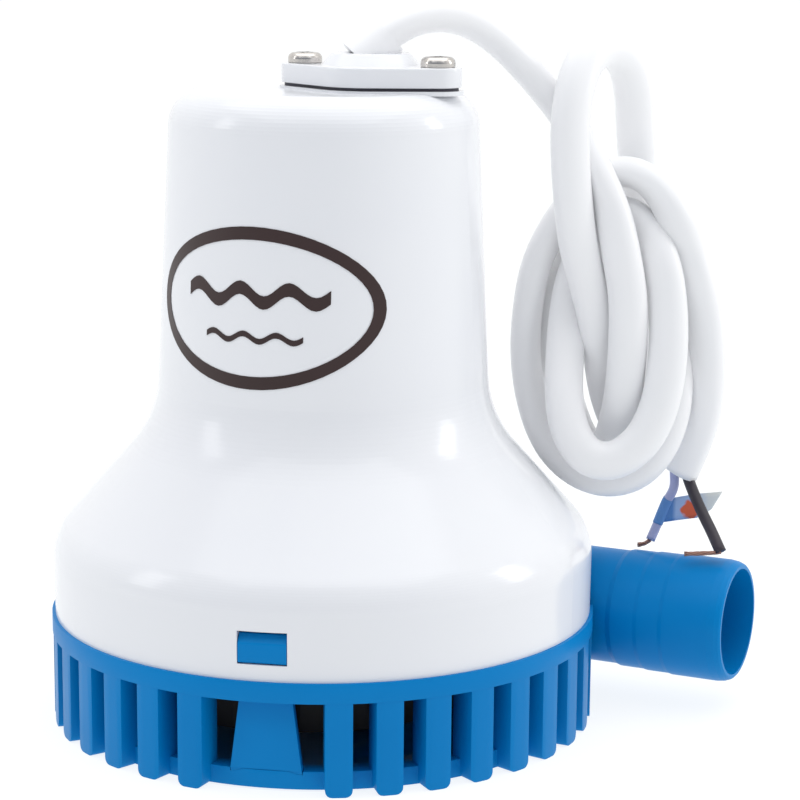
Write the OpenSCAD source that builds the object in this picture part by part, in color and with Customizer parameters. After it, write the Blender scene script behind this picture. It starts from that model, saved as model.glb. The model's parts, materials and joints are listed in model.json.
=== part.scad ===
// Submersible bilge pump: a motor housing that lifts out of a strainer base.
// Origin: centre of the strainer base's underside. +Z is up, +X is the way the discharge port points.

/* [Motor housing] */
// Outer radius of the skirt at its lower edge
skirt_r = 64.4; // [63.5:0.1:64.8]
// Height of the lower edge of the skirt
skirt_z = 26; // [25:0.5:27]
// Height of the corner between the skirt and the sloping shoulder
shoulder_z = 44.9; // [44:0.1:47]
// Outer radius of that corner
shoulder_r = 64.6; // [64:0.1:65]
// Height of the corner between the shoulder and the barrel
neck_z = 72.7; // [71:0.1:76]
// Outer radius of that corner
neck_r = 39.7; // [39:0.1:42]
// Outer radius of the barrel at the top
crown_r = 35.9; // [35.5:0.1:38]
// Height of the flat top
crown_z = 150; // [148:0.5:156]
// Wall thickness of the housing
housing_wall = 2.5; // [2:0.1:2.8]

/* [Strainer base] */
// Outer radius of the strainer bars
strainer_r = 65; // [64.5:0.1:65.5]
// Angle from one bar to the next
bar_pitch = 10; // [10]
// Width of a bar
bar_w = 6.1; // [5.5:0.1:6.5]
// Height of the top of the slots
slot_top_z = 21.5; // [20:0.5:22]
// Outer radius of the floor between the bars
floor_r = 61; // [60.8:0.1:61.2]
// Diameter of the circle of mounting holes
mount_circle_d = 92; // [84:1:96]
// Diameter of a mounting hole
mount_hole_d = 4.5; // [4:0.1:5.5]

/* [Latch] */
// Direction of the front latch, in degrees from +X
latch_az = -75; // [-75]
// Width of the housing window that the latch hook fills
window_w = 11.2; // [10:0.1:12]

/* [Discharge port] */
// Sideways distance from the pump's axis to the port's axis
port_y = 42; // [42]
// Height of the port's axis
port_z = 22; // [22]
// Distance from the pump's axis to the mouth
port_end_x = 91.3; // [90:0.1:100]
// Diameter of the last land that the hose grips
hose_land_d = 29.7; // [29.7]

/* [Motor] */
// Radius of the motor can
can_r = 30; // [29:0.5:30.5]
// Radius of the shaft
shaft_r = 3; // [3]

/* [Cord gland] */
// Distance from the pump's axis to the gland's axis
gland_x = 12; // [11:0.5:13]
// Distance between the two gland screws
gland_screw_gap = 34; // [33:0.5:35]

/* [Hidden] */
$fn = 96;
gap = 0.05;       // radial clearance of a running fit
body_gap = 0.3;   // clearance between pieces that move past each other
thread_pilot_r = 1.6;
cord_r = 4.2;
wire_r = 1.4;
blue_r = 1.15;
bare_r = 0.6;

// heights
floor_z = [0.5, 2.8];     // strainer floor
rim_top_z = 4.6;          // raised rim of the strainer floor, which the slots start from
cover_z = [7.8, 10.3];    // volute cover
volute_top_z = [33.7, 36]; // top plate of the volute
bulkhead_rim_z = [39.5, 43.5];
bell_z = [46, 50];
can_top_z = 121;
cap_top_z = 124.5;

// radii
housing_round = [13, 27, 8.5]; // shoulder, neck and crown
lip_r = strainer_r + 0.2;
bar_depth = 7;
volute_wall = 2.5;
volute_start_r = 33;
port_r = 14.05;
port_bore_r = 11.7;
volute_end_r = port_y + port_bore_r;
cutwater_az = 70;
outlet_x = 20.8;   // where the volute's outlet box ends and its round spigot starts
hub_r = 13;
latch_pivot = [59.6, rim_top_z]; // radius and height of the latch's bend line
window_z = [29.7, 37.2];
ledge_h = 6.5;
ledge_screw_r = 57;
ledge_screw_az = [30, 120, 210, 300];
tie_y = 25;
brush_z = 109;
brush_size = [8, 5, 6];
lead_x = 16;

// heights of the gland, from the housing's flat top
pad_h = 0.5;
gasket_h = 0.7;
flange_h = 4.5;
boss_h = 4.3;
gland_base_z = crown_z + pad_h + gasket_h;
gland_top_z = gland_base_z + flange_h + boss_h;

// The cord's route: across, deep and up, in a frame turned by bundle_turn about Z
bundle_turn = 27;
lead_route = [[9, -5, 157], [12, -5, 160.5], [17, -4, 164.5], [24, -1, 167], [33, 3, 166],
    [41, 6, 161], [48, 8, 154], [55, 9, 146], [60, 8, 139], [64, 5, 132]];
hank_across = 72;
hank_deep = [-5, 29];
hank_r = 25.5;
hank_z = [78.5, 104];
hank_top = [68, 149];
hank_top_deep = [-4, 21];
black_route = [[89, 8.5, 57], [89.8, 9, 53.3], [91.8, 5, 48.2], [93.9, 0, 43.7], [95, -4, 41], [95.6, -5, 39.7]];
blue_route = [[86.2, 12.6, 57], [86.3, 12, 51.8], [84.6, 13, 47.5], [82.5, 13, 41.9], [80.8, 12, 38.3]];
black_strands = [[95.6, -5, 39.7], [93.7, -5, 39.5], [90.7, -4.4, 39.2], [87, -3.6, 38.9]];
blue_strands = [[80.8, 12, 38.3], [79.4, 12, 37.4], [77.7, 11.4, 37.2]];

// ---- geometry helpers ----

function unit(v) = v / norm(v);
function left_of(v) = [-v.y, v.x];

// Points of the arc of radius r that rounds the corner b between a and c
function round_corner(a, b, c, r, steps = 10) =
    r == 0 ? [b] :
    let (
        u = unit(a - b), w = unit(c - b),
        half = acos(u * w) / 2,
        centre = b + unit(u + w) * r / sin(half),
        first = b + u * r / tan(half) - centre,
        last = b + w * r / tan(half) - centre,
        from = atan2(first.y, first.x),
        turn = atan2(first.x * last.y - first.y * last.x, first * last)
    )
    [for (i = [0:steps]) centre + r * [cos(from + turn * i / steps), sin(from + turn * i / steps)]];

// A closed outline whose corners are rounded by radii
function rounded(p, radii, steps = 10) =
    let (n = len(p))
    [for (i = [0:n - 1]) each round_corner(p[(i + n - 1) % n], p[i], p[(i + 1) % n], radii[i], steps)];

// Corner b of the line a-b-c after the line is moved d to its left
function inset(a, b, c, d) =
    let (n = unit(left_of(b - a)), m = unit(left_of(c - b))) b + d * (n + m) / (1 + n * m);

// A smooth line through the points, with steps between each two
function curve(p, steps = 3) =
    let (n = len(p) - 1)
    concat([for (i = [0:n - 1], k = [0:steps - 1])
        let (
            t = k / steps,
            a = p[max(i - 1, 0)], b = p[i], c = p[i + 1], d = p[min(i + 2, n)]
        )
        b + t * (c - a) / 2 + t * t * (2 * a - 5 * b + 4 * c - d) / 2
            + t * t * t * (3 * b - a - 3 * c + d) / 2], [p[n]]);

function tangents(p) =
    [for (i = [0:len(p) - 1]) unit(p[min(i + 1, len(p) - 1)] - p[max(i - 1, 0)])];

function carried(t, n, i = 0) =
    i == len(t) ? [] : let (m = unit(n - (n * t[i]) * t[i])) concat([m], carried(t, m, i + 1));

// A round tube along a line of points
module tube(p, r, sides = 8) {
    t = tangents(p);
    n = carried(t, cross(t[0], [0.31, 0.87, 0.38]));
    ring = [for (i = [0:len(p) - 1], k = [0:sides - 1])
        p[i] + r * (cos(360 * k / sides) * n[i] + sin(360 * k / sides) * cross(t[i], n[i]))];
    sides_of = [for (i = [0:len(p) - 2], k = [0:sides - 1])
        let (a = i * sides, b = (i + 1) * sides, m = (k + 1) % sides)
        [a + k, b + k, b + m, a + m]];
    ends = [[for (k = [0:sides - 1]) k],
        [for (k = [sides - 1:-1:0]) (len(p) - 1) * sides + k]];
    polyhedron(points = ring, faces = concat(sides_of, ends));
}

// From the bundle's own frame to the part's
function placed(p) =
    [for (q = p) [q.x * cos(bundle_turn) - q.y * sin(bundle_turn),
        q.x * sin(bundle_turn) + q.y * cos(bundle_turn), q.z]];

module ring(z, r_out, r_in) {
    translate([0, 0, z[0]]) difference() {
        cylinder(r = r_out, h = z[1] - z[0]);
        translate([0, 0, -1]) cylinder(r = r_in, h = z[1] - z[0] + 2);
    }
}

module disc(z, r) { translate([0, 0, z[0]]) cylinder(r = r, h = z[1] - z[0]); }

module along_x(x, r) { translate([x[0], 0, 0]) rotate([0, 90, 0]) cylinder(r = r, h = x[1] - x[0]); }

module at_port() { translate([0, port_y, port_z]) children(); }

module around(angles, r) { for (a = angles) rotate(a) translate([r, 0, 0]) children(); }

// A pan-head screw with a cross recess, head up, its seat at z = 0
module pan_screw(thread_r, length, head_r, head_h) {
    translate([0, 0, -length]) cylinder(r = thread_r, h = length, $fn = 32);
    difference() {
        rotate_extrude($fn = 48) polygon(rounded(
            [[0, 0], [head_r, 0], [head_r, head_h], [0, head_h]], [0, 0.3, head_h * 0.6, 0], 6));
        translate([0, 0, head_h]) for (a = [0, 90])
            rotate(a) cube([head_r * 1.1, head_r * 0.24, head_h], center = true);
    }
}

// ---- motor housing ----

housing_corners = [[skirt_r, skirt_z], [shoulder_r, shoulder_z], [neck_r, neck_z],
    [crown_r, crown_z], [0, crown_z]];
housing_outline = rounded(concat([[0, skirt_z]], housing_corners),
    [0, 0, housing_round[0], housing_round[1], housing_round[2], 0], 14);
housing_inside = let (c = housing_corners, w = housing_wall)
    rounded([[0, skirt_z - 1], [skirt_r - w, skirt_z - 1], inset(c[0], c[1], c[2], w),
        inset(c[1], c[2], c[3], w), inset(c[2], c[3], c[4], w), [0, crown_z - w]],
        [0, 0, housing_round[0] - w, housing_round[1] + w, housing_round[2] - w, 0], 14);

function barrel_r(z) = neck_r + (crown_r - neck_r) * (z - neck_z) / (crown_z - neck_z);

module gland_outline(mid_r, ear_r) {
    reach = gland_screw_gap / 2;
    tilt = acos((mid_r - ear_r) / reach);
    function arc(x, r, from, to) =
        [for (i = [0:12]) let (a = from + (to - from) * i / 12) [x + r * cos(a), r * sin(a)]];
    polygon(concat(arc(reach, ear_r, -tilt, tilt), arc(0, mid_r, tilt, 180 - tilt),
        arc(-reach, ear_r, 180 - tilt, 180 + tilt), arc(0, mid_r, 180 + tilt, 360 - tilt)));
}

module at_gland() { translate([gland_x, 0, 0]) children(); }

module at_gland_screws() {
    at_gland() for (side = [-1, 1]) translate([side * gland_screw_gap / 2, 0, 0]) children();
}

module motor_housing() {
    color("white") difference() {
        union() {
            difference() {
                rotate_extrude() polygon(housing_outline);
                // the hollow leaves a ledge that the bulkhead is drawn up against
                difference() {
                    rotate_extrude() polygon(housing_inside);
                    ring([bulkhead_rim_z[1], bulkhead_rim_z[1] + ledge_h], 70, 53.5);
                }
            }
            at_gland() translate([0, 0, crown_z - 0.5]) linear_extrude(pad_h + 0.5)
                gland_outline(14.2, 6);
        }
        for (side = [0, 180]) rotate(latch_az + side)
            translate([58, -window_w / 2, window_z[0]])
                cube([10, window_w, window_z[1] - window_z[0]]);
        at_port() along_x([20, 90], 15);
        around(ledge_screw_az, ledge_screw_r)
            translate([0, 0, bulkhead_rim_z[1] - 1]) cylinder(r = thread_pilot_r, h = 7);
        at_gland() translate([0, 0, crown_z - 6]) cylinder(r = 5.2, h = 10);
        at_gland_screws() translate([0, 0, crown_z - 6]) cylinder(r = thread_pilot_r, h = 10);
    }
}

// ---- printed label: an oval band round two waves ----

label_z = 103.5;
label_az = -88;
label_half = [31, 18.2];
label_band = 2.9;
label_t = 0.12;

function oval(half) = [for (i = [0:59]) [half.x * cos(6 * i), half.y * sin(6 * i)]];

function wave(across, up, thick, swing, humps) =
    let (n = 36, line = function (i) [across * (i / n - 0.5), up + swing * sin(360 * humps * i / n)])
    concat([for (i = [0:n]) line(i) + [0, thick / 2]], [for (i = [n:-1:0]) line(i) - [0, thick / 2]]);

module oval_label() {
    color([0.17, 0.06, 0.05]) intersection() {
        rotate_extrude() polygon([[barrel_r(label_z - 20), label_z - 20],
            [barrel_r(label_z - 20) + label_t, label_z - 20],
            [barrel_r(label_z + 20) + label_t, label_z + 20], [barrel_r(label_z + 20), label_z + 20]]);
        rotate(label_az + 90) translate([0, -20, label_z]) rotate([90, 0, 0]) linear_extrude(25) {
            // the flat outline is narrower than the arc that it lies along
            difference() {
                polygon(oval([label_flat(label_half.x), label_half.y]));
                polygon(oval([label_flat(label_half.x) - label_band * 0.75, label_half.y - label_band]));
            }
            polygon(wave(35, 3, 3, 1.6, 3));
            polygon(wave(24, -6.5, 1.3, 0.8, 3));
        }
    }
}

function label_flat(arc) = barrel_r(label_z) * sin(arc / barrel_r(label_z) * 180 / PI);

// ---- cord gland ----

module gland_gasket() {
    color([0.12, 0.12, 0.13]) at_gland() translate([0, 0, crown_z + pad_h]) difference() {
        linear_extrude(gasket_h) gland_outline(12.8, 4.8);
        translate([0, 0, -1]) cylinder(r = 5.2, h = 4);
        for (side = [-1, 1]) translate([side * gland_screw_gap / 2, 0, -1]) cylinder(r = 2.2, h = 4);
    }
}

module gland_grommet() {
    color([0.12, 0.12, 0.13]) at_gland() difference() {
        union() {
            disc([crown_z - housing_wall, gland_base_z], 5.1);
            disc([crown_z - housing_wall - 2, crown_z - housing_wall], 7);
        }
        for (side = [-1, 1]) translate([0, side * 2, crown_z - 10]) cylinder(r = wire_r + 0.02, h = 20);
    }
}

module gland_cap() {
    color("white") at_gland() difference() {
        union() {
            translate([0, 0, gland_base_z]) linear_extrude(flange_h) gland_outline(13.5, 5.5);
            disc([gland_base_z, gland_top_z], 11.5);
        }
        translate([0, 0, gland_base_z - 1]) cylinder(r = 4.9, h = 20);
        for (side = [-1, 1]) translate([side * gland_screw_gap / 2, 0, gland_base_z - 1]) {
            cylinder(r = 2.2, h = 20);
            // the screw heads sit in clearance cut from the boss
            translate([0, 0, flange_h + 1]) cylinder(r = 4.6, h = 20);
        }
    }
}

module gland_screws() {
    color("silver") at_gland_screws() translate([0, 0, gland_base_z + flange_h])
        pan_screw(1.55, 9, 4, 2.4);
}

module strain_relief() {
    p = placed(lead_route);
    lean = unit(p[2] - p[0]);
    color("white") difference() {
        translate(p[0]) rotate([0, acos(lean.z), atan2(lean.y, lean.x)])
            translate([0, 0, -1]) cylinder(r1 = 5.9, r2 = 4.7, h = 9);
        translate([0, 0, gland_base_z - 20]) cylinder(r = 60, h = 22);
    }
}

// ---- cord and what is on its end ----

module cord_lead() { color("white") tube(curve(placed(lead_route), 2), cord_r, 10); }

// A slab of the bundle between two depths
module slab(deep) {
    rotate(bundle_turn) translate([0, deep[1], 0]) rotate([90, 0, 0]) linear_extrude(deep[1] - deep[0]) children();
}

module cord_hank() {
    color("white") union() {
        slab(hank_deep) union() {
            for (z = hank_z) translate([hank_across, z]) circle(r = hank_r);
            translate([hank_across - hank_r, hank_z[0]]) square([2 * hank_r, hank_z[1] - hank_z[0]]);
        }
        slab(hank_top_deep) union() {
            translate(hank_top) circle(r = 14);
            translate([hank_top.x - 14, 110]) square([28, hank_top.y - 110]);
        }
    }
}

module conductor_black() { color([0.1, 0.09, 0.1]) tube(placed(black_route), wire_r); }

module conductor_blue() { color([0.4, 0.55, 0.8]) tube(placed(blue_route), blue_r); }

module bare_wire_ends() {
    color([0.72, 0.42, 0.28]) {
        tube(placed(black_strands), bare_r);
        tube(placed(blue_strands), bare_r);
    }
}

// A paper flag stuck round the blue conductor
module wire_tag() {
    color([0.75, 0.86, 0.95]) rotate(bundle_turn) translate([0, 13.15, 0]) rotate([90, 0, 0])
        linear_extrude(0.3) polygon([[85.2, 48.6], [83, 42.4], [92.5, 43.7], [95.9, 46], [98.5, 50.5], [93.3, 49.9]]);
}

// ---- strainer base and its latches ----

module bar_outline() {
    polygon(rounded([[-bar_w / 2, 0], [bar_w / 2, 0], [bar_w / 2, slot_top_z + 1], [-bar_w / 2, slot_top_z + 1]],
        [1.6, 1.6, 0, 0], 4));
}

function in_bay(a) = abs(a - latch_az) < 8 || abs(a - latch_az - 180) < 8;

module strainer_base() {
    bars = [for (a = [-90:bar_pitch:269]) if (!in_bay(a)) a];
    color([0, 0.51, 0.8]) difference() {
        union() {
            disc(floor_z, floor_r);
            ring([floor_z[0], rim_top_z], floor_r, 56);
            ring([slot_top_z, skirt_z], lip_r, floor_r + body_gap);
            // spigot inside the skirt
            ring([slot_top_z, skirt_z + 3.5], skirt_r - housing_wall - body_gap, 60.2);
            intersection() {
                around(bars, strainer_r - bar_depth)
                    rotate([90, 0, 90]) linear_extrude(bar_depth + 1) bar_outline();
                disc([0, slot_top_z + 1], strainer_r);
            }
        }
        // the spigot is cut away where the latches stand
        for (side = [0, 180]) rotate(latch_az + side) {
            translate([54, -11, slot_top_z - 0.5]) cube([floor_r + body_gap - 54, 22, 12]);
            translate([latch_pivot[0], 0, latch_pivot[1]]) rotate([90, 0, 0])
                cylinder(r = 1.1 + gap, h = 16.4, center = true);
        }
        at_port() {
            along_x([10, 80], 15);
            translate([10, -15, 0]) cube([70, 30, 20]);
        }
        translate([-1, port_y - port_r - body_gap, cover_z[0] - body_gap])
            cube([outlet_x + body_gap + 1, 2 * (port_r + body_gap), 30]);
        around([45:90:315], mount_circle_d / 2)
            translate([0, 0, -1]) cylinder(d = mount_hole_d, h = 6);
    }
}

module latch_tongue() {
    color([0.04, 0.42, 0.71]) {
        translate([latch_pivot[0], 0, latch_pivot[1]]) rotate([90, 0, 0])
            cylinder(r = 1.1, h = 16.1, center = true);
        translate([59, 0, 0]) rotate([90, 0, 90]) linear_extrude(1.9)
            polygon([[-8.05, rim_top_z + 0.12], [8.05, rim_top_z + 0.12], [5.9, slot_top_z], [5, window_z[1] - 0.2],
                [-5, window_z[1] - 0.2], [-5.9, slot_top_z]]);
        translate([59.2, 0, 0]) rotate([90, 0, 90]) linear_extrude(0.8)
            polygon([[-5, rim_top_z], [5, rim_top_z], [5, 8], [-5, 8]]);
        // hook that fills the window
        translate([0, window_w / 2 - 0.15, 0]) rotate([90, 0, 0]) linear_extrude(window_w - 0.3)
            polygon(rounded([[60, window_z[0] + 0.15], [64.3, window_z[0] + 0.15], [64.3, 34.5],
                [62.6, window_z[1] - 0.9], [60, window_z[1] - 0.9]], [0, 0.8, 1, 0.6, 0], 4));
    }
}

module latch_tongue_front() { rotate(latch_az) latch_tongue(); }

module latch_tongue_rear() { rotate(latch_az + 180) latch_tongue(); }

// ---- bulkhead, seals and volute ----

module bulkhead() {
    color([0.16, 0.16, 0.17]) difference() {
        union() {
            disc([volute_top_z[0], bell_z[0]], hub_r);
            disc([volute_top_z[1], volute_top_z[1] + 4], 54);
            ring(bulkhead_rim_z, 61.2, 52);
            for (side = [-1, 1]) translate([0, side * tie_y, volute_top_z[1]])
                cylinder(r = 5, h = bell_z[0] - volute_top_z[1]);
        }
        translate([0, 0, volute_top_z[0] - 1]) cylinder(r = 9, h = 9.6);
        translate([0, 0, volute_top_z[0]]) cylinder(r = shaft_r + 0.4, h = 20);
        translate([0, 0, 41.5]) rotate_extrude() translate([60.7, 0]) circle(r = 1.15, $fn = 24);
        around(ledge_screw_az, ledge_screw_r) translate([0, 0, 30]) cylinder(r = 2.2, h = 20);
        for (side = [-1, 1]) translate([0, side * tie_y, bell_z[0] - 8]) cylinder(r = 1.9, h = 12);
        at_lugs() translate([0, 0, volute_top_z[0]]) cylinder(r = thread_pilot_r, h = 5);
        at_port() along_x([22, 60], port_r + body_gap);
    }
}

module bulkhead_o_ring() {
    color([0.1, 0.1, 0.1]) translate([0, 0, 41.5]) rotate_extrude()
        translate([60.7, 0]) circle(r = 1.1, $fn = 24);
}

module bulkhead_screws() {
    color("silver") around(ledge_screw_az, ledge_screw_r) translate([0, 0, bulkhead_rim_z[0]])
        mirror([0, 0, 1]) pan_screw(1.55, 8.5, 3.4, 2);
}

module shaft_seal() {
    color([0.1, 0.1, 0.1]) difference() {
        disc([volute_top_z[0] + 1.5, volute_top_z[0] + 8.5], 8.9);
        disc([volute_top_z[0], volute_top_z[0] + 10], shaft_r + gap);
        disc([volute_top_z[0], volute_top_z[0] + 5], 6);
    }
}

module seal_retainer() { color("silver") ring([volute_top_z[0], volute_top_z[0] + 1.5], 8.9, shaft_r + 0.6); }

// Radius of the volute's inside wall at a direction, growing clockwise from the cutwater
function past_cutwater(az) = (cutwater_az - az + 720) % 360;
function volute_r(az) =
    volute_start_r + (volute_end_r - volute_start_r) * past_cutwater(az) / (360 - 90 + cutwater_az);

module volute_plan(extra) {
    sweep = 360 - 90 + cutwater_az;
    polygon([for (k = [0:34]) let (az = cutwater_az - sweep * k / 34, r = volute_r(az) + extra)
        [r * cos(az), r * sin(az)]]);
}

lug_az = [5, -80, -165];

module at_lugs() { for (a = lug_az) rotate(a) translate([volute_r(a) + 5.5, 0, 0]) children(); }

module volute_outline(z) {
    translate([0, 0, z[0]]) linear_extrude(z[1] - z[0]) volute_plan(volute_wall);
    at_lugs() disc(z, 4.5);
}

module volute_body() {
    z = [cover_z[1], volute_top_z[1]];
    color([0.13, 0.13, 0.14]) difference() {
        union() {
            volute_outline(z);
            translate([0, port_y - port_r, z[0]]) cube([outlet_x, 2 * port_r, z[1] - z[0]]);
            at_port() along_x([outlet_x - 0.8, 24], 13.8);
            at_port() along_x([outlet_x - 0.8, 38], 12.3);
        }
        translate([0, 0, z[0] - 1]) linear_extrude(volute_top_z[0] - z[0] + 1) {
            volute_plan(0);
            translate([0, port_y - port_bore_r]) square([16, 2 * port_bore_r]);
        }
        at_port() along_x([10, 40], 10.8);
        disc([volute_top_z[0] - 1, volute_top_z[1] + 1], hub_r + 0.1);
        at_lugs() disc([0, 60], 2.1);
    }
}

module volute_cover() {
    color([0.13, 0.13, 0.14]) difference() {
        union() {
            volute_outline(cover_z);
            translate([0, port_y - port_r, cover_z[0]]) cube([outlet_x - 1, 2 * port_r, cover_z[1] - cover_z[0]]);
        }
        disc([0, 20], 16);
        at_lugs() disc([0, 20], 2.1);
    }
}

module volute_screws() {
    color("silver") at_lugs() translate([0, 0, cover_z[0]])
        mirror([0, 0, 1]) pan_screw(1.55, 30.5, 3.4, 2);
}

module port_gasket() { color([0.1, 0.1, 0.1]) at_port() rotate([0, 90, 0]) ring([24, 26], 13.8, 12.32); }

port_lands = [[62.3, port_r], [63.6, 14.45], [69.4, 14.45], [70.4, 14.65], [75.8, 14.65],
    [76.8, hose_land_d / 2], [88, hose_land_d / 2]];

module discharge_port() {
    outline = concat([[26, 12.35], [26, port_r]], [for (p = port_lands) p],
        [[port_end_x - 1.5, 14.6], [port_end_x - 0.4, 14.15], [port_end_x, 13.7], [port_end_x, 12.9],
        [port_end_x - 14, 12.4], [port_end_x - 22, port_bore_r], [39, port_bore_r], [38, 12.35]]);
    color([0, 0.51, 0.8]) at_port() rotate([0, 90, 0]) rotate_extrude()
        polygon([for (p = outline) [p.y, p.x]]);
}

// ---- motor ----

module motor_end_bell() {
    color("silver") difference() {
        union() {
            disc(bell_z, can_r);
            disc([bell_z[0], bell_z[1] + 6.5], 12);
        }
        disc([bell_z[0] - 1, bell_z[1] + 9], shaft_r + 1);
        disc([bell_z[1] + 0.5, bell_z[1] + 9], 9.5);
        tie_holes();
    }
}

module tie_holes() {
    for (side = [-1, 1]) translate([0, side * tie_y, 30]) cylinder(r = 1.9, h = 110);
}

module motor_can() { color([0.5, 0.52, 0.55]) ring([bell_z[1], can_top_z], can_r, can_r - 1.8); }

module motor_end_cap() {
    color("silver") difference() {
        union() {
            disc([can_top_z, cap_top_z], can_r);
            disc([can_top_z - 4, can_top_z], 12);
        }
        disc([can_top_z - 6, can_top_z + 1], 8);
        tie_holes();
        lead_holes();
    }
}

module lead_holes() {
    for (side = [-1, 1]) translate([lead_x, 6 * side, 100]) cylinder(r = wire_r + 0.3, h = 40);
}

module motor_tie_screws() {
    color("silver") for (side = [-1, 1]) translate([0, side * tie_y, cap_top_z])
        pan_screw(1.8, cap_top_z - bell_z[0] + 6, 3.6, 2.4);
}

module magnets() {
    color([0.25, 0.25, 0.27]) difference() {
        ring([62, 104.4], can_r - 1.85, 22.2);
        translate([0, 0, 84]) cube([26, 80, 60], center = true);
    }
}

module lower_bearing() { bearing([bell_z[1] + 0.5, bell_z[1] + 6.5], 9.5); }

module upper_bearing() { bearing([can_top_z - 4, can_top_z], 8); }

module bearing(z, r) {
    middle = (r + shaft_r) / 2;
    color([0.8, 0.8, 0.82]) difference() {
        ring(z, r, shaft_r + gap);
        for (end = z) translate([0, 0, end]) rotate_extrude()
            translate([middle, 0]) circle(r = 0.8, $fn = 16);
    }
}

module brush_plate() {
    color([0.45, 0.3, 0.15]) difference() {
        ring([can_top_z - 4, can_top_z - 2], can_r - 1.9, 13);
        tie_holes();
        lead_holes();
    }
}

module at_brushes() { for (side = [0, 180]) rotate(side) children(); }

module brush_guides() {
    s = brush_size;
    color([0.8, 0.65, 0.3]) at_brushes() difference() {
        translate([11, -s.y / 2 - 1, brush_z - s.z / 2 - 1])
            cube([13, s.y + 2, can_top_z - 4 - brush_z + s.z / 2 + 1]);
        translate([10, -s.y / 2 - 0.35, brush_z - s.z / 2 - 0.35]) cube([12.5, s.y + 0.7, s.z + 0.7]);
    }
}

module brush() {
    s = brush_size;
    color([0.2, 0.2, 0.2]) translate([9.3, -s.y / 2, brush_z - s.z / 2]) cube([s.x, s.y, s.z]);
}

module brush_a() { brush(); }

module brush_b() { rotate(180) brush(); }

module brush_spring() {
    turns = 4;
    line = [for (i = [0:12 * turns])
        [17.8 + 4.2 * i / (12 * turns), 1.9 * cos(30 * i), brush_z + 1.9 * sin(30 * i)]];
    color("silver") tube(line, 0.3, 6);
}

module brush_spring_a() { brush_spring(); }

module brush_spring_b() { rotate(180) brush_spring(); }

module motor_leads() {
    for (side = [-1, 1])
        color(side < 0 ? [0.1, 0.1, 0.1] : [0.4, 0.55, 0.8])
            tube(curve([[lead_x, 6 * side, can_top_z - 1.5], [lead_x, 6 * side, 128], [14.5, 4.5 * side, 136],
                [gland_x, 2 * side, 144], [gland_x, 2 * side, 149], [gland_x, 2 * side, 152]], 2), wire_r);
}

// ---- rotor ----

module shaft() { color("silver") disc([11, can_top_z], shaft_r); }

module armature_core() {
    color([0.4, 0.4, 0.42]) difference() {
        ring([66, 102], 21, shaft_r + 0.02);
        for (k = [0:11]) rotate(30 * k) translate([12, -2, 60]) cube([10, 4, 50]);
    }
}

module armature_windings() {
    color([0.72, 0.4, 0.2]) union() {
        for (z = [[60, 66], [102, 104.5]]) ring(z, 19, shaft_r + 2);
        for (k = [0:11]) rotate(30 * k) translate([12.2, -1.8, 65]) cube([6.6, 3.6, 38]);
    }
}

module commutator() {
    color([0.8, 0.5, 0.3]) difference() {
        ring([107.5, 116], 9, shaft_r + 0.02);
        for (k = [0:5]) rotate(30 * k + 15) translate([0, 0, 112]) difference() {
            cube([20, 0.6, 10], center = true);
            cylinder(r = 7.5, h = 12, center = true);
        }
    }
}

vane_z = [13, 30];
impeller_r = 29;

// A backward-swept vane as a closed outline
function vane(thick) =
    let (r = [for (i = [0:10]) 7 + (impeller_r - 7.8) * i / 10],
        az = function (q) 75 * (q - 7) / (impeller_r - 7))
    concat([for (q = r) let (a = az(q) - thick / q * 90 / PI) q * [cos(a), sin(a)]],
        [for (i = [10:-1:0]) let (q = r[i], a = az(q) + thick / q * 90 / PI) q * [cos(a), sin(a)]]);

module impeller() {
    color([0.2, 0.2, 0.22]) difference() {
        union() {
            disc([vane_z[1], vane_z[1] + 2], impeller_r);
            disc([vane_z[0], vane_z[1] + 2], 7.5);
            for (k = [0:4]) rotate(72 * k) translate([0, 0, vane_z[0] + 1])
                linear_extrude(vane_z[1] - vane_z[0]) vane_outline();
        }
        disc([0, 16.5], 6.4);
        disc([0, 50], shaft_r + 0.02);
    }
}

module vane_outline() { polygon(vane(2.2)); }

module impeller_nut() { color("silver") translate([0, 0, 12.2]) difference() {
    cylinder(r = 5.5, h = 4.3, $fn = 6);
    translate([0, 0, -1]) cylinder(r = shaft_r + 0.03, h = 6, $fn = 96);
} }

strainer_base();
latch_tongue_front();
latch_tongue_rear();
motor_housing();
oval_label();
gland_gasket();
gland_grommet();
gland_cap();
gland_screws();
strain_relief();
cord_lead();
cord_hank();
conductor_black();
conductor_blue();
bare_wire_ends();
wire_tag();
bulkhead();
bulkhead_o_ring();
bulkhead_screws();
shaft_seal();
seal_retainer();
volute_body();
volute_cover();
volute_screws();
port_gasket();
discharge_port();
motor_end_bell();
motor_can();
motor_end_cap();
motor_tie_screws();
magnets();
lower_bearing();
upper_bearing();
brush_plate();
brush_guides();
brush_a();
brush_b();
brush_spring_a();
brush_spring_b();
motor_leads();
shaft();
armature_core();
armature_windings();
commutator();
impeller();
impeller_nut();
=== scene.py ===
"""A bilge pump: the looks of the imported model, its cord, the floor, the lights and the camera."""
import json
import math

import bmesh
import bpy
import numpy as np
from mathutils import Matrix, Vector


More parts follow.
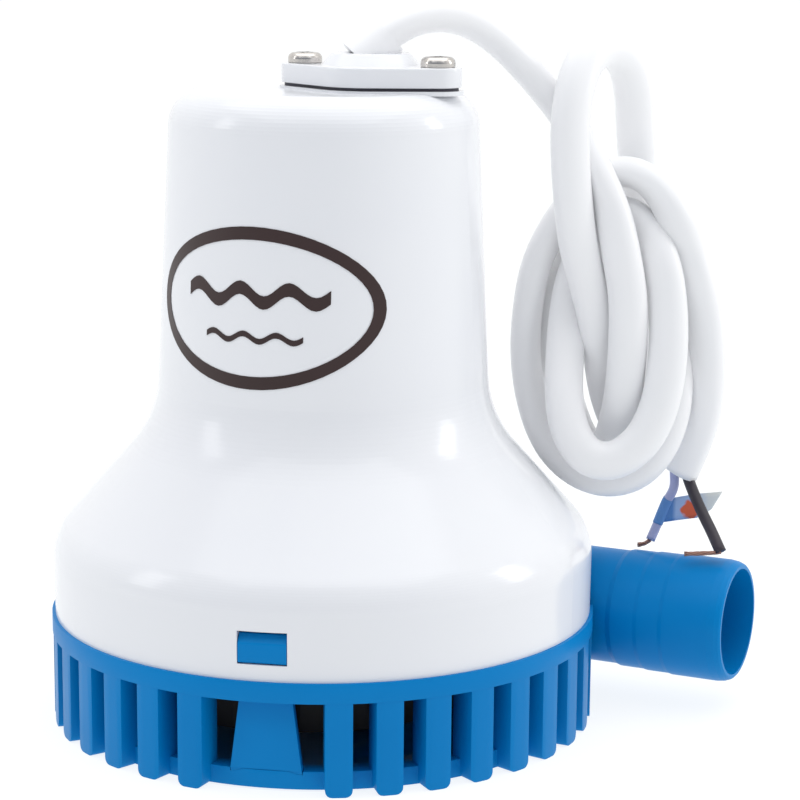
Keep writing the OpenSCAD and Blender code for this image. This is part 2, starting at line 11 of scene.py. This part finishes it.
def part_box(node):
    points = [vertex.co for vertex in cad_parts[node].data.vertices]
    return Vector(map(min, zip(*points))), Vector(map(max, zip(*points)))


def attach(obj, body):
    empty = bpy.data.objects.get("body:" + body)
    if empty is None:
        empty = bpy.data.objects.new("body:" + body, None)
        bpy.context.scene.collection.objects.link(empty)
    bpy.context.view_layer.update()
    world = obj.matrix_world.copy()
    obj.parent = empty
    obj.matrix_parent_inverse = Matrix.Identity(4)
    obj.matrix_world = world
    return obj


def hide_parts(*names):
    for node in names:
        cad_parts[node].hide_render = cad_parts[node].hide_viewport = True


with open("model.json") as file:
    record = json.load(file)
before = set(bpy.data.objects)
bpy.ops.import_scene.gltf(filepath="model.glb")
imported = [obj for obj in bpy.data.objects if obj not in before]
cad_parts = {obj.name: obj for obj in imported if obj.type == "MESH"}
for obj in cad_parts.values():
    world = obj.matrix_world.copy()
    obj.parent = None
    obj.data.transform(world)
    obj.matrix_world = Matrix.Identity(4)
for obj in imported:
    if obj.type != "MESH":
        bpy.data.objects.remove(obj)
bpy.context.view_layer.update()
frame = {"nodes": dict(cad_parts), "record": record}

MM = 0.001
BUNDLE_TURN = math.radians(27)  # the bundle's own frame is turned this much about Z
ACROSS = np.array([math.cos(BUNDLE_TURN), math.sin(BUNDLE_TURN), 0])
DEEP = np.array([-math.sin(BUNDLE_TURN), math.cos(BUNDLE_TURN), 0])
UP = np.array([0, 0, 1.0])

# ---- camera ----


# how far in front of the pump's axis the camera stands, and how high, in metres
CAMERA_DISTANCE, CAMERA_HEIGHT = 0.572, 0.1898
# how far it is turned right, down and about its own axis
CAMERA_PAN, CAMERA_TILT, CAMERA_ROLL = math.radians(1.821), math.radians(11.254), math.radians(0.433)
LENS, SENSOR = 109.9, 36


def make_camera():
    """A long lens in front of the label's right, looking a little down."""
    pan, tilt, roll = CAMERA_PAN, CAMERA_TILT, CAMERA_ROLL
    level = ACROSS * math.sin(pan) + DEEP * math.cos(pan)
    forward = level * math.cos(tilt) - UP * math.sin(tilt)
    right = ACROSS * math.cos(pan) - DEEP * math.sin(pan)
    up = np.cross(right, forward)
    turned_right = right * math.cos(roll) + up * math.sin(roll)
    turned_up = up * math.cos(roll) - right * math.sin(roll)
    data = bpy.data.cameras.new("camera")
    data.lens = LENS
    data.sensor_width = SENSOR
    camera = bpy.data.objects.new("camera", data)
    bpy.context.scene.collection.objects.link(camera)
    axes = Matrix([turned_right, turned_up, -forward]).transposed().to_4x4()
    camera.matrix_world = Matrix.Translation(Vector(-DEEP * CAMERA_DISTANCE + UP * CAMERA_HEIGHT)) @ axes
    bpy.context.scene.camera = camera


make_camera()

# ---- materials ----


def new_material(name, colour, roughness, **sockets):
    """A material with its node tree and shader; sockets are further inputs, with _ for a space."""
    m = bpy.data.materials.new(name)
    m.use_nodes = True
    m.node_tree.nodes.clear()
    out = m.node_tree.nodes.new("ShaderNodeOutputMaterial")
    shader = m.node_tree.nodes.new("ShaderNodeBsdfPrincipled")
    m.node_tree.links.new(shader.outputs["BSDF"], out.inputs["Surface"])
    shader.inputs["Base Color"].default_value = (*colour, 1)
    shader.inputs["Roughness"].default_value = roughness
    for socket, value in sockets.items():
        shader.inputs[socket.replace("_", " ")].default_value = value
    return m, m.node_tree, shader


def texture(tree, kind, scale, **values):
    """A procedural texture in the part's own coordinates."""
    place = tree.nodes.new("ShaderNodeTexCoord")
    tex = tree.nodes.new(kind)
    tree.links.new(place.outputs["Object"], tex.inputs["Vector"])
    tex.inputs["Scale"].default_value = scale
    for socket, value in values.items():
        tex.inputs[socket.replace("_", " ")].default_value = value
    return tex


def spread(tree, source, low, high, start=0.0, end=1.0):
    """A number from low to high as source goes from start to end."""
    node = tree.nodes.new("ShaderNodeMapRange")
    tree.links.new(source, node.inputs["Value"])
    node.inputs["From Min"].default_value = start
    node.inputs["From Max"].default_value = end
    node.inputs["To Min"].default_value = low
    node.inputs["To Max"].default_value = high
    return node.outputs["Result"]


def mixed(tree, amount, a, b):
    """The colour from a to b as amount goes from 0 to 1; each may be a value or a socket."""
    node = tree.nodes.new("ShaderNodeMix")
    node.data_type = "RGBA"
    if hasattr(amount, "is_linked"):
        tree.links.new(amount, node.inputs["Factor"])
    else:
        node.inputs["Factor"].default_value = amount
    for name, value in (("A", a), ("B", b)):
        socket = next(s for s in node.inputs if s.name == name and s.type == "RGBA")
        if hasattr(value, "is_linked"):
            tree.links.new(value, socket)
        else:
            socket.default_value = (*value, 1)
    return next(s for s in node.outputs if s.type == "RGBA")


def bump(tree, shader, height, strength, distance):
    """Fine relief from a texture's height."""
    node = tree.nodes.new("ShaderNodeBump")
    node.inputs["Strength"].default_value = strength
    node.inputs["Distance"].default_value = distance
    tree.links.new(height, node.inputs["Height"])
    tree.links.new(node.outputs["Normal"], shader.inputs["Normal"])


def moulded(name, colour, roughness, tint, grain, **sockets):
    """Moulded plastic: faint flow marks in the colour and gloss, and a fine skin."""
    m, tree, shader = new_material(name, colour, roughness, **sockets)
    flow = texture(tree, "ShaderNodeTexNoise", 28, Detail=3.0, Distortion=0.6)
    tree.links.new(mixed(tree, spread(tree, flow.outputs["Fac"], 0, 1, 0.35, 0.7), colour, tint),
                   shader.inputs["Base Color"])
    tree.links.new(spread(tree, flow.outputs["Fac"], roughness * 0.85, roughness * 1.2, 0.3, 0.7),
                   shader.inputs["Roughness"])
    skin = texture(tree, "ShaderNodeTexNoise", 900, Detail=2.0)
    bump(tree, shader, skin.outputs["Fac"], grain, 0.0002)
    return m


def metal(name, colour, roughness):
    """Bare metal whose gloss varies with fine marks."""
    m, tree, shader = new_material(name, colour, roughness, Metallic=1.0)
    marks = texture(tree, "ShaderNodeTexNoise", 600, Detail=4.0)
    tree.links.new(spread(tree, marks.outputs["Fac"], roughness * 0.7, roughness * 1.4, 0.3, 0.7),
                   shader.inputs["Roughness"])
    bump(tree, shader, marks.outputs["Fac"], 0.08, 0.0001)
    return m


def printed_paper(name):
    """Paper printed blue to grey along its length, with one shapeless warm mark."""
    m, tree, shader = new_material(name, (0.5, 0.67, 0.85), 0.7)
    place = tree.nodes.new("ShaderNodeTexCoord")
    along = tree.nodes.new("ShaderNodeVectorMath")
    along.operation = "DOT_PRODUCT"
    along.inputs[1].default_value = tuple(ACROSS)
    tree.links.new(place.outputs["Object"], along.inputs[0])
    near = spread(tree, along.outputs["Value"], 0, 1, 86.2 * MM, 87.2 * MM)
    far = spread(tree, along.outputs["Value"], 0, 1, 91 * MM, 95 * MM)
    colour = mixed(tree, near, (0.10, 0.25, 0.55), (0.36, 0.50, 0.76))
    colour = mixed(tree, far, colour, (0.72, 0.75, 0.74))
    mark = tree.nodes.new("ShaderNodeVectorMath")
    mark.operation = "DISTANCE"
    mark.inputs[1].default_value = tuple(ACROSS * 90.6 * MM + DEEP * 13 * MM + UP * 45.8 * MM)
    tree.links.new(place.outputs["Object"], mark.inputs[0])
    edge = texture(tree, "ShaderNodeTexNoise", 420, Detail=1.0)
    rough_edge = tree.nodes.new("ShaderNodeMath")
    rough_edge.operation = "MULTIPLY_ADD"
    tree.links.new(edge.outputs["Fac"], rough_edge.inputs[0])
    rough_edge.inputs[1].default_value = 2.2 * MM
    tree.links.new(mark.outputs["Value"], rough_edge.inputs[2])
    inside = spread(tree, rough_edge.outputs["Value"], 1, 0, 3.0 * MM, 3.5 * MM)
    tree.links.new(mixed(tree, inside, colour, (0.75, 0.13, 0.05)), shader.inputs["Base Color"])
    return m


MATERIALS = {
    "blue_plastic": moulded("blue_plastic", (0.0, 0.21, 0.55), 0.36, (0.0, 0.195, 0.52), 0.06,
                            Specular_IOR_Level=0.1),
    "white_housing": moulded("white_housing", (0.80, 0.81, 0.835), 0.16, (0.79, 0.80, 0.83), 0.03),
    "label_ink": moulded("label_ink", (0.022, 0.006, 0.005), 0.4, (0.03, 0.01, 0.01), 0.1),
    "black_rubber": moulded("black_rubber", (0.045, 0.042, 0.06), 0.6, (0.02, 0.02, 0.02), 0.1),
    "stainless_screw": metal("stainless_screw", (0.60, 0.57, 0.54), 0.22),
    "white_cord": moulded("white_cord", (0.89, 0.89, 0.9), 0.36, (0.87, 0.875, 0.885), 0.05),
    "black_insulation": moulded("black_insulation", (0.022, 0.016, 0.026), 0.45, (0.03, 0.022, 0.034), 0.05),
    "blue_insulation": moulded("blue_insulation", (0.36, 0.39, 0.62), 0.4, (0.40, 0.42, 0.64), 0.05),
    "bare_copper": metal("bare_copper", (0.42, 0.24, 0.19), 0.4),
    "tag_paper": printed_paper("tag_paper"),
    "black_plastic": moulded("black_plastic", (0.010, 0.010, 0.011), 0.45, (0.014, 0.014, 0.015), 0.1),
    "steel": metal("steel", (0.42, 0.43, 0.45), 0.35),
    "ferrite": moulded("ferrite", (0.03, 0.03, 0.032), 0.6, (0.04, 0.04, 0.042), 0.1),
    "copper_winding": metal("copper_winding", (0.55, 0.22, 0.08), 0.3),
    "brush_board": moulded("brush_board", (0.10, 0.04, 0.015), 0.55, (0.13, 0.06, 0.02), 0.1),
    "guide_brass": metal("guide_brass", (0.62, 0.42, 0.14), 0.3),
    "carbon": moulded("carbon", (0.02, 0.02, 0.02), 0.6, (0.03, 0.03, 0.03), 0.1),
}

for entry in frame["record"]["subparts"]:
    piece = frame["nodes"][entry["node"]]
    piece.data.materials.clear()
    piece.data.materials.append(MATERIALS[entry["material_slot"]])

# ---- moulded edges ----


# vertices nearer than this are one, and faces that differ by less than this angle are one face
SAME_POINT, FLAT_ANGLE = 1e-6, math.radians(0.6)
# edges past the first angle are rounded off, and those past the second stay sharp in the shading
ROUNDED_ANGLE, SHARP_ANGLE = math.radians(38), math.radians(50)


def softened(node, width, body, segments=2, reshape=None):
    """A copy of a node with its points moved by reshape and its sharp edges rounded off, as a mould does."""
    source = frame["nodes"][node]
    mesh = bmesh.new()
    mesh.from_mesh(source.data)
    mesh.transform(source.matrix_world)
    bmesh.ops.remove_doubles(mesh, verts=mesh.verts, dist=SAME_POINT)
    bmesh.ops.dissolve_limit(mesh, angle_limit=FLAT_ANGLE, verts=mesh.verts, edges=mesh.edges)
    if reshape:
        for vertex in mesh.verts:
            vertex.co = reshape(vertex.co)
    data = bpy.data.meshes.new(node + "_soft")
    mesh.to_mesh(data)
    raw = bpy.data.objects.new(node + "_raw", data)
    bpy.context.scene.collection.objects.link(raw)
    bevel = raw.modifiers.new("edges", "BEVEL")
    bevel.width = width
    bevel.segments = segments
    bevel.limit_method = "ANGLE"
    bevel.angle_limit = ROUNDED_ANGLE
    bevel.use_clamp_overlap = True
    done = bpy.data.meshes.new_from_object(raw.evaluated_get(bpy.context.evaluated_depsgraph_get()))
    bpy.data.objects.remove(raw)
    for polygon in done.polygons:
        polygon.use_smooth = True
    done.set_sharp_from_angle(angle=SHARP_ANGLE)
    piece = bpy.data.objects.new(node + "_soft", done)
    bpy.context.scene.collection.objects.link(piece)
    slot = next(e["material_slot"] for e in frame["record"]["subparts"] if e["node"] == node)
    finished(piece, slot, body)
    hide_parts(node)
    return piece


# the gland's cap: its flange's height and bore, and how far its boss is drawn in and sunk
FLANGE_HIGH, BORE_RIM = 4.5 * MM, 6 * MM
BOSS_DRAFT, BOSS_SINK = 0.55, 0.35
BOSS_FROM = 0.1 * MM


def drafted(point):
    """A point of the gland's cap, with the boss above its flange drawn in and down to a low cone."""
    low, high = (np.array(corner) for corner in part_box("gland_cap"))
    centre = (low + high) / 2
    boss = point.z - (low[2] + FLANGE_HIGH)
    if boss < BOSS_FROM:
        return point
    out = np.array([point.x, point.y]) - centre[:2]
    r = float(np.linalg.norm(out))
    narrow = (BORE_RIM + (r - BORE_RIM) * BOSS_DRAFT) / r if r > BORE_RIM else 1
    return (centre[0] + out[0] * narrow, centre[1] + out[1] * narrow, point.z - boss * BOSS_SINK)


# ---- cord ----

CORD_THIN, CORD_WIDE = 7.4 * MM, 9.3 * MM
CORD_STEP = 1.6 * MM
# its section is squarer than an ellipse, whose power would be 2
CORD_POWER = 2.15
# how far apart its turns are moved in depth, in how many rounds, and the easing of its line before and after
TURN_GAP, TURN_ROUNDS, EASE_BEFORE, EASE_AFTER = 8 * MM, 10, 10, 6

# the cord's route from the gland to its end, in runs; each point is across, deep and up in the bundle's own
# frame, in millimetres
LEAD = [(9, -5, 157), (12, -5, 160.5), (17, -4, 164.5), (24, -1, 167), (33, 3, 166), (41, 6, 161),
        (48, 8, 154), (55, 9, 146), (60, 8, 139), (64, 5, 132)]
FRONT_RUN = [(68, 1, 122), (70, -1, 112), (72, -2, 102), (72.3, -1, 90), (72, 1, 78), (71, 4.5, 69)]
TURN_BACK = [(70, 8.5, 62.5), (67.5, 14, 60), (64, 20, 62.5), (60.5, 22.5, 70)]
INNER_RISE = [(57.6, 22, 81), (56.6, 22, 93), (58.5, 20.5, 105), (63.5, 16.5, 115.5)]
INNER_FALL = [(71, 11, 120.5), (76.5, 6, 117.5), (80.5, 2, 108), (82, -1, 96), (81.5, -3, 83), (78.5, -5, 71),
              (72.5, -6, 63.5), (65, -6, 61.2), (59.3, -4.5, 66.5)]
LEFT_RISE = [(57.3, -0.5, 76), (58, 5, 86), (59, 9.5, 96), (61, 12, 106), (65, 16, 114), (71, 21.5, 116.5),
             (77, 26.5, 112), (81.5, 29, 102), (83.5, 29.5, 88), (82.5, 29, 74), (78.5, 25.5, 65.5),
             (73.5, 20, 64.5), (70.5, 15, 71)]
TALL_LOOP = [(68, 10.5, 81), (66.2, 6, 92), (63.2, 2.5, 103), (60, 0, 113), (58.5, -1, 124), (57.5, -1, 136),
             (57.8, 0, 147), (60.5, 4, 156), (65, 9, 159.8), (70.5, 14, 158.5), (74.2, 17, 151),
             (75, 18, 141)]
OUTER_FALL = [(76, 18.5, 131), (77, 18, 118), (79.5, 16, 105), (83, 11, 94), (84.7, 7, 83), (84.3, 4, 73),
              (81.3, 3, 64), (76.5, 3, 57.7), (70, 4.5, 55.2)]
OUTER_RISE = [(63, 8.5, 56.3), (55.8, 12.5, 61.5), (51.3, 15.5, 71.5), (49.3, 16.5, 83.5), (49.6, 16, 95),
              (51.3, 14, 107), (55, 12, 115.5), (59, 11, 122), (64, 11, 127), (70, 9, 130.5)]
LAST_FALL = [(76, 6, 130), (81, 4, 124), (85.5, 4, 115), (89.5, 5, 103), (92, 6, 91), (92.8, 7, 78),
             (91.5, 9, 67), (87.6, 11.5, 55.8)]
# each run, and how far its wide side is turned away from the front, in degrees
RUNS = [(LEAD, 85), (FRONT_RUN, 10), (TURN_BACK, 0), (INNER_RISE, 0), (INNER_FALL, 10), (LEFT_RISE, 10),
        (TALL_LOOP, 10), (OUTER_FALL, 20), (OUTER_RISE, 80), (LAST_FALL, 35)]
# the conductors and their bare ends: radii and routes
BLACK_R, BLUE_R = 1.4 * MM, 1.15 * MM
BLACK_ROUTE = [(88.6, 10, 60.5), (88.7, 8.8, 57), (89.8, 9, 53.3), (91.8, 5, 48.2), (93.9, 0, 43.7),
               (95, -4, 41), (95.6, -5, 39.7)]
BLUE_ROUTE = [(87.3, 12.2, 61), (86.4, 12.9, 57), (86.3, 12, 51.8), (84.6, 13, 47.5), (82.5, 13, 41.9),
              (80.8, 12, 38.3)]
BLACK_STRANDS = [(95.6, -5, 39.7), (93.7, -5, 39.5), (90.7, -4.4, 39.2), (87, -3.6, 38.9)]
BLUE_STRANDS = [(80.8, 12, 38.3), (79.4, 12, 37.4), (77.7, 11.4, 37.2)]


def placed(points):
    """Points of the bundle's frame, in millimetres, as metres in the part's frame."""
    p = np.array(points, float) * MM
    return p[:, :1] * ACROSS + p[:, 1:2] * DEEP + p[:, 2:] * UP


def spaced(line, step):
    """The line with points about one step apart."""
    along = np.concatenate([[0], np.linalg.norm(np.diff(line, axis=0), axis=1).cumsum()])
    at = np.linspace(0, along[-1], max(2, round(along[-1] / step) + 1))
    return np.stack([np.interp(at, along, line[:, k]) for k in range(3)], axis=1)


def curved(points, steps=10):
    """A smooth line through the points."""
    p = np.vstack([2 * points[0] - points[1], points, 2 * points[-1] - points[-2]])
    t = np.linspace(0, 1, steps, endpoint=False)[:, None]
    parts = [
        b + t * (c - a) / 2 + t ** 2 * (2 * a - 5 * b + 4 * c - d) / 2 + t ** 3 * (3 * b - a - 3 * c + d) / 2
        for a, b, c, d in zip(p, p[1:], p[2:], p[3:])
    ]
    return np.vstack([*parts, points[-1:]])


def eased(line, rounds):
    """The line with its small kinks worn away; its ends stay."""
    line = line.copy()
    for _ in range(rounds):
        line[1:-1] += 0.25 * (line[:-2] - 2 * line[1:-1] + line[2:])
    return line


def tube(name, line, radii, sides=16, wide_ways=None, power=2.0):
    """A tube of oval section along a line; radii are the half-widths along and across wide_ways."""
    tangent = np.gradient(line, axis=0)
    tangent /= np.linalg.norm(tangent, axis=1)[:, None]
    if wide_ways is None:
        wide_ways = carried(tangent)
    other = np.cross(tangent, wide_ways)
    angle = np.arange(sides) * 2 * np.pi / sides
    c, s = np.cos(angle), np.sin(angle)
    c, s = np.sign(c) * abs(c) ** (2 / power), np.sign(s) * abs(s) ** (2 / power)
    radii = np.broadcast_to(np.asarray(radii, float), (len(line), 2))
    rings = (
        line[:, None]
        + wide_ways[:, None] * (radii[:, :1] * c)[..., None]
        + other[:, None] * (radii[:, 1:] * s)[..., None]
    )
    faces = [
        (i * sides + k, i * sides + (k + 1) % sides, (i + 1) * sides + (k + 1) % sides, (i + 1) * sides + k)
        for i in range(len(line) - 1) for k in range(sides)
    ]
    faces += [tuple(range(sides - 1, -1, -1)), tuple((len(line) - 1) * sides + k for k in range(sides))]
    return made(name, rings.reshape(-1, 3), faces)


def carried(tangent):
    """A sideways direction carried along a line without twist."""
    side = np.cross(tangent[0], [0.31, 0.87, 0.38])
    ways = []
    for t in tangent:
        side = side - side.dot(t) * t
        side /= np.linalg.norm(side)
        ways.append(side)
    return np.array(ways)


def made(name, points, faces):
    """A new object from points and faces, smooth but for its end caps."""
    mesh = bpy.data.meshes.new(name)
    mesh.from_pydata([tuple(p) for p in points], [], faces)
    mesh.validate()
    piece = bpy.data.objects.new(name, mesh)
    bpy.context.scene.collection.objects.link(piece)
    for polygon in mesh.polygons:
        polygon.use_smooth = len(polygon.vertices) <= 4
    return piece


def finished(piece, slot, body="pump"):
    """The piece with its material, its slot and the body that it rides on."""
    piece.data.materials.clear()
    piece.data.materials.append(MATERIALS[slot])
    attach(piece, body)
    return piece


def parted(line, least, rounds):
    """The line with its turns moved off each other in depth, as a wound cord lies."""
    line = line.copy()
    step = np.linalg.norm(line[1] - line[0])
    n = len(line)
    apart = abs(np.subtract.outer(np.arange(n), np.arange(n))) * step > 3 * least
    for _ in range(rounds):
        gap = line[:, None] - line[None]
        near = apart & (np.linalg.norm(gap, axis=2) < least)
        deep = gap @ DEEP
        beside = (gap ** 2).sum(axis=2) - deep ** 2
        wanted = np.sqrt(np.maximum(least ** 2 - beside, 0))
        push = np.where(near, (wanted - abs(deep)) * np.where(deep >= 0, 1, -1), 0).sum(axis=1)
        push /= np.maximum(near.sum(axis=1), 1)
        for _ in range(16):
            push[1:-1] = 0.25 * push[:-2] + 0.5 * push[1:-1] + 0.25 * push[2:]
        line += 0.5 * push[:, None] * DEEP
    return line


def turned(line, angles):
    """The way that the cord's wide side faces: across the front, turned by the angles about the cord."""
    tangent = np.gradient(line, axis=0)
    tangent /= np.linalg.norm(tangent, axis=1)[:, None]
    side = None
    ways = []
    for t, angle in zip(tangent, np.radians(angles)):
        front = np.cross(t, DEEP)
        clear = np.linalg.norm(front)
        front /= max(clear, 1e-6)
        want = front * math.cos(angle) + np.cross(t, front) * math.sin(angle)
        if side is None:
            side = want
        if want.dot(side) < 0:
            want = -want
        side = side + (0.18 * clear if clear > 0.35 else 0) * (want - side)
        side = side - side.dot(t) * t
        side /= np.linalg.norm(side)
        ways.append(side)
    return np.array(ways)


def make_cord():
    """The whole cord as one piece, with its centreline and its length."""
    route = placed([p for run, _ in RUNS for p in run])
    way = np.concatenate([[0], np.linalg.norm(np.diff(route, axis=0), axis=1).cumsum()])
    line = spaced(curved(route), CORD_STEP)
    line = parted(eased(line, EASE_BEFORE), TURN_GAP, TURN_ROUNDS)
    line = spaced(eased(line, EASE_AFTER), CORD_STEP)
    angles = np.interp(np.linspace(0, 1, len(line)), way / way[-1], [a for run, a in RUNS for _ in run])
    cord = tube("cord", line, (CORD_WIDE / 2, CORD_THIN / 2), 24, turned(line, angles), CORD_POWER)
    finished(cord, "white_cord")
    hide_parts("cord_lead", "cord_hank")
    length = np.linalg.norm(np.diff(line, axis=0), axis=1).sum()
    return cord, line, float(length)


def make_conductor(name, route, radius, slot):
    """One insulated conductor, wire_black or wire_blue."""
    line = spaced(curved(placed(route)), 0.8 * MM)
    wire = tube(name, line, (radius, radius), sides=20)
    finished(wire, slot)
    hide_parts("conductor_" + name.split("_")[1])
    return wire


# the bare ends: how many fine wires lie round a middle one, and where, and how thick they are
STRAND_COUNT, STRAND_LAY, STRAND_R = 6, 0.34 * MM, 0.17 * MM
# their turn about the middle one at each step, in radians, and how far they fray by the end
STRAND_STEP, STRAND_TURN, STRAND_FRAY = 0.5 * MM, 0.33, 0.2


def strands(route):
    """Centrelines of a middle wire along a route and of the fine wires twisted round it."""
    line = spaced(curved(placed(route)), STRAND_STEP)
    tangent = np.gradient(line, axis=0)
    tangent /= np.linalg.norm(tangent, axis=1)[:, None]
    side = carried(tangent)
    other = np.cross(tangent, side)
    turn = np.arange(len(line))[:, None] * STRAND_TURN
    lines = [line]
    for k in range(STRAND_COUNT):
        a = turn + 2 * np.pi * k / STRAND_COUNT
        loose = 1 + STRAND_FRAY * np.linspace(0, 1, len(line))[:, None] * (1 + math.sin(k * 2.3))
        lines.append(line + STRAND_LAY * loose * (np.cos(a) * side + np.sin(a) * other))
    return lines


def make_strands():
    """The bare copper of both conductors, as one piece."""
    mesh = bmesh.new()
    for line in strands(BLACK_STRANDS) + strands(BLUE_STRANDS):
        piece = tube("strand", line, (STRAND_R, STRAND_R), sides=8)
        mesh.from_mesh(piece.data)
        bpy.data.objects.remove(piece)
    data = bpy.data.meshes.new("copper_strands")
    mesh.to_mesh(data)
    piece = bpy.data.objects.new("copper_strands", data)
    bpy.context.scene.collection.objects.link(piece)
    for polygon in data.polygons:
        polygon.use_smooth = len(polygon.vertices) == 4
    finished(piece, "bare_copper")
    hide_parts("bare_wire_ends")
    return piece


# the paper flag's outline, across and up, from its edge on the conductor
FLAG = [(85.2, 48.6), (83.0, 42.4), (92.5, 43.7), (95.9, 46), (98.5, 50.5), (93.3, 49.9)]
# its depth, thickness and curl, in millimetres, and its grid of points
FLAG_DEEP, FLAG_THICK, FLAG_CURL, FLAG_LONG, FLAG_HIGH = 13, 0.12, 0.5, 20, 6
# the part of it that is wrapped round the conductor: its radius, its lower edge and its upper edge
WRAP_R, WRAP_LOW, WRAP_TOP = 1.27 * MM, 41.8 * MM, 48.8 * MM


def make_flag():
    """A sheet of paper that is stuck round the blue conductor and stands off it, a little curled."""
    low = np.array([FLAG[1], FLAG[2], FLAG[3]])
    high = np.array([FLAG[0], FLAG[5], FLAG[4]])
    n, m = FLAG_LONG, FLAG_HIGH
    t = np.linspace(0, 1, n)
    at_low = np.stack([np.interp(t, [0, 0.7, 1], low[:, k]) for k in range(2)], axis=1)
    at_high = np.stack([np.interp(t, [0, 0.62, 1], high[:, k]) for k in range(2)], axis=1)
    points = []
    for thick in (0, FLAG_THICK):
        for i in range(n):
            for j in range(m):
                u, z = at_low[i] + (at_high[i] - at_low[i]) * j / (m - 1)
                points.append((u, FLAG_DEEP + thick + FLAG_CURL * math.sin(5 * t[i]) * t[i], z))
    faces = []
    for i in range(n - 1):
        for j in range(m - 1):
            a = i * m + j
            faces.append((a, a + m, a + m + 1, a + 1))
            faces.append(tuple(n * m + v for v in (a, a + 1, a + m + 1, a + m)))
    rim = [i * m for i in range(n)] + [(n - 1) * m + j for j in range(1, m)] \
        + [i * m + m - 1 for i in range(n - 2, -1, -1)] + [j for j in range(m - 2, 0, -1)]
    for a, b in zip(rim, rim[1:] + rim[:1]):
        faces.append((b, a, n * m + a, n * m + b))
    flag = made("paper_flag", placed(points), faces)
    line = spaced(curved(placed(BLUE_ROUTE)), 0.5 * MM)
    line = line[(line[:, 2] > WRAP_LOW) & (line[:, 2] < WRAP_TOP)]
    wrap = tube("paper_wrap", line, (WRAP_R, WRAP_R), sides=24)
    mesh = bmesh.new()
    for piece in (flag, wrap):
        mesh.from_mesh(piece.data)
    mesh.to_mesh(flag.data)
    bpy.data.objects.remove(wrap)
    finished(flag, "tag_paper")
    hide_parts("wire_tag")
    return flag


softened("gland_cap", 0.9 * MM, "pump", 3, drafted)
softened("strainer_base", 0.45 * MM, "base")
softened("latch_tongue_front", 0.35 * MM, "latch_front")
softened("latch_tongue_rear", 0.35 * MM, "latch_rear")
cord, cord_line, cord_length = make_cord()
conductors = [make_conductor("wire_black", BLACK_ROUTE, BLACK_R, "black_insulation"),
              make_conductor("wire_blue", BLUE_ROUTE, BLUE_R, "blue_insulation")]
copper = make_strands()
flag = make_flag()

# ---- floor and lights ----

FLOOR_HALF = 6
WORLD_FRONT, WORLD_BACK = (0.33, 0.355, 0.405), (1.0, 1.0, 1.0)


def make_floor():
    """A lit white sweep, on which a shadow stays faint."""
    half = FLOOR_HALF
    corners = [(-half, -half, 0), (half, -half, 0), (half, half, 0), (-half, half, 0)]
    floor = made("floor", corners, [(0, 1, 2, 3)])
    lit = new_material("floor", (0.22, 0.22, 0.22), 0.9, Emission_Color=(0.83, 0.845, 0.85, 1),
                       Emission_Strength=1.0, Specular_IOR_Level=0.0)[0]
    floor.data.materials.append(lit)


def area_light(name, place, aim, size, power):
    """A softbox at a place, in metres, that faces another place; its power is in watts."""
    data = bpy.data.lights.new(name, "AREA")
    data.shape = "RECTANGLE"
    data.size, data.size_y = size
    data.energy = power
    light = bpy.data.objects.new(name, data)
    bpy.context.scene.collection.objects.link(light)
    light.location = place
    light.rotation_euler = (Vector(aim) - Vector(place)).to_track_quat("-Z", "Y").to_euler()


def view_place(across, deep, up):
    """A place given across the view, away from the camera and up."""
    return Vector(ACROSS * across + DEEP * deep + UP * up)


def make_world():
    """A white studio, dimmer and a little cooler on the side that the camera is on."""
    world = bpy.data.worlds.new("world")
    bpy.context.scene.world = world
    world.use_nodes = True
    tree = world.node_tree
    place = tree.nodes.new("ShaderNodeTexCoord")
    back = tree.nodes.new("ShaderNodeVectorMath")
    back.operation = "DOT_PRODUCT"
    back.inputs[1].default_value = tuple(DEEP * 0.95 + ACROSS * 0.3)
    tree.links.new(place.outputs["Generated"], back.inputs[0])
    amount = spread(tree, back.outputs["Value"], 0, 1, -0.85, 0.1)
    tree.links.new(mixed(tree, amount, WORLD_FRONT, WORLD_BACK), tree.nodes["Background"].inputs["Color"])
    tree.nodes["Background"].inputs["Strength"].default_value = 1


make_floor()
make_world()
area_light("softbox_left", view_place(-1.4, -0.25, 0.65), view_place(0, 0, 0.08), (0.35, 0.7), 1.8)
area_light("softbox_right", view_place(1.4, 0.0, 0.6), view_place(0.03, 0, 0.08), (0.3, 0.6), 3.0)
area_light("softbox_top", view_place(0, -0.1, 1.1), view_place(0, 0, 0.08), (1.6, 1.6), 8.6)
bpy.context.scene.view_settings.view_transform = "Standard"
